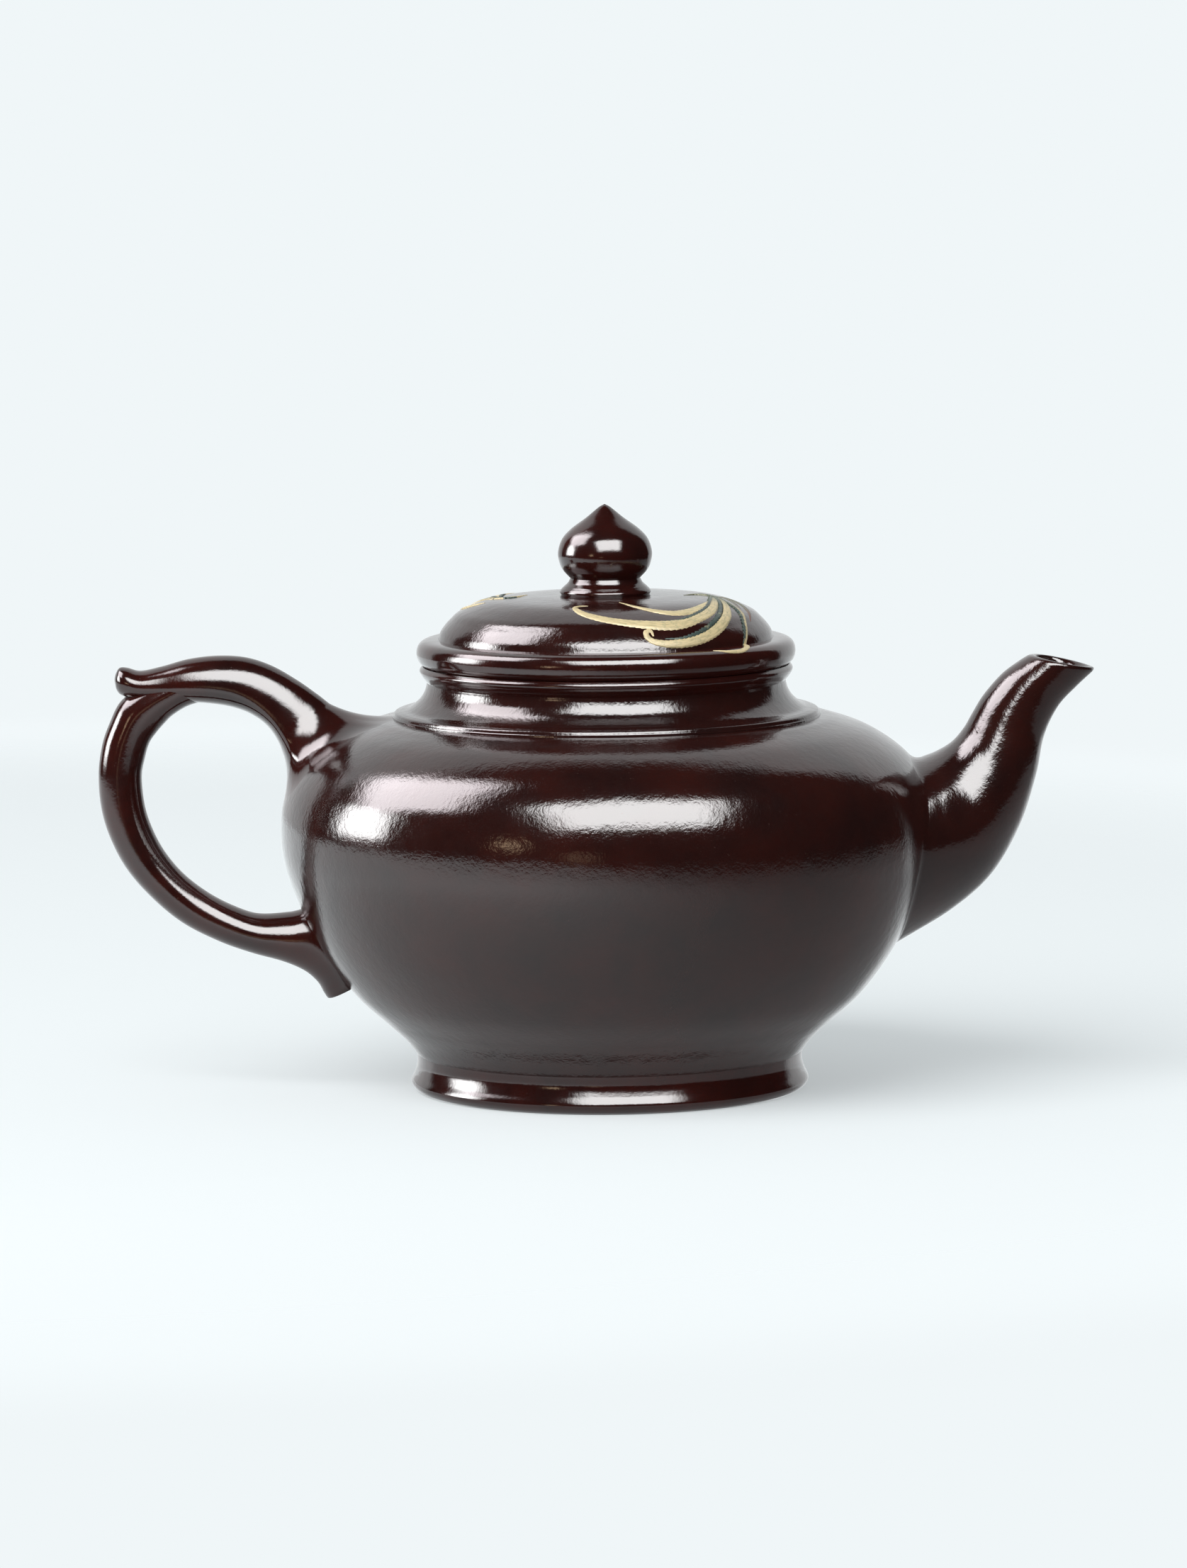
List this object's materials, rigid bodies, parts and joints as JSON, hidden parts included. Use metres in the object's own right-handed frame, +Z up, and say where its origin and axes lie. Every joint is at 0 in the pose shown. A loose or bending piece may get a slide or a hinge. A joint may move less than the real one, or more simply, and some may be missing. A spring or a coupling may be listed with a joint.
{
  "type": "clay teapot",
  "caption": "Round-bodied polished clay teapot with a curved spout, a loop handle with a thumb rest, and a domed lift-off lid with a bud-shaped knob.",
  "frame": {"origin": "middle of the foot ring, on the surface that the teapot stands on", "axes": "+Z up along the axis of the bowl and the lid, +X towards the spout, handle along -X"},
  "size_m": [0.1602, 0.105, 0.0942],
  "materials": {
    "polished_clay": "polished, near mirror gloss with a fine pebbled texture",
    "plain_clay": "fine sandy matt",
    "cream_slip": "satin",
    "green_slip": "satin",
    "russet_slip": "satin"
  },
  "bodies": {
    "pot": {"foot_ring": "polished_clay", "bottom_disc": "plain_clay", "bowl_wall": "polished_clay", "shoulder_disc": "polished_clay", "neck": "polished_clay", "mouth_rim": "polished_clay", "spout": "polished_clay", "strainer": "plain_clay", "handle_upper": "polished_clay", "handle_lower": "polished_clay"},
    "lid": {"lid_skirt": "plain_clay", "lid_flange": "polished_clay", "lid_dome": "polished_clay", "knob_collar": "polished_clay", "knob": "polished_clay", "plumes_cream": "cream_slip", "plumes_green": "green_slip", "plumes_russet": "russet_slip"}
  },
  "joints": [
    {"name": "lid_lift", "type": "slide", "parent": "pot", "child": "lid", "axis": [0, 0, 1], "range_m": [0, 0.04]}
  ]
}
